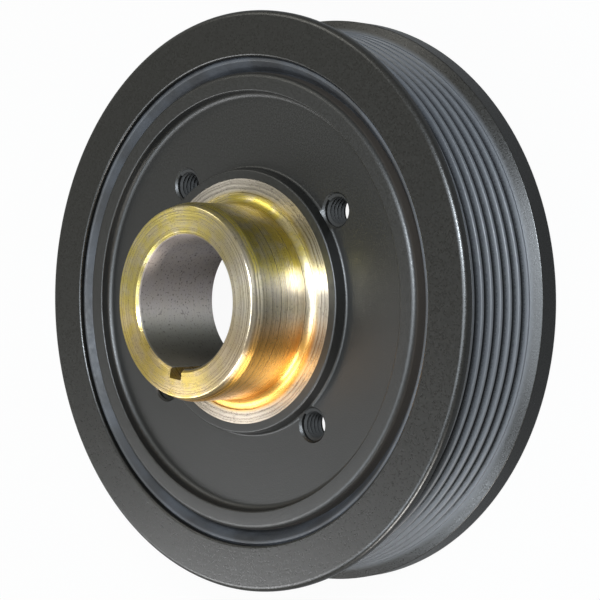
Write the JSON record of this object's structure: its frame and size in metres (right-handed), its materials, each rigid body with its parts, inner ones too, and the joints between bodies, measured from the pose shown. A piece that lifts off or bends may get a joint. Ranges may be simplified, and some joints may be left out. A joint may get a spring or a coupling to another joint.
{
  "type": "harmonic balancer",
  "caption": "Crankshaft harmonic balancer: keyed hub with a seal nose and puller holes, bonded rubber ring and grooved belt ring.",
  "frame": {"origin": "on the axis, at the back face of the inertia ring, which the part rests on", "axes": "+Z along the axis, from the back face towards the hub's nose; the keyway is on the -Y side"},
  "size_m": [0.146, 0.146, 0.0541],
  "materials": {
    "coated_hub": "satin black coating on the web and rim, bare machined steel-grey on the nose, boss face and bore",
    "damper_rubber": "matt moulded rubber",
    "coated_ring": "satin black coating over turned iron"
  },
  "bodies": {
    "root": {"hub": "coated_hub", "rubber_ring": "damper_rubber", "inertia_ring": "coated_ring"}
  },
  "joints": []
}
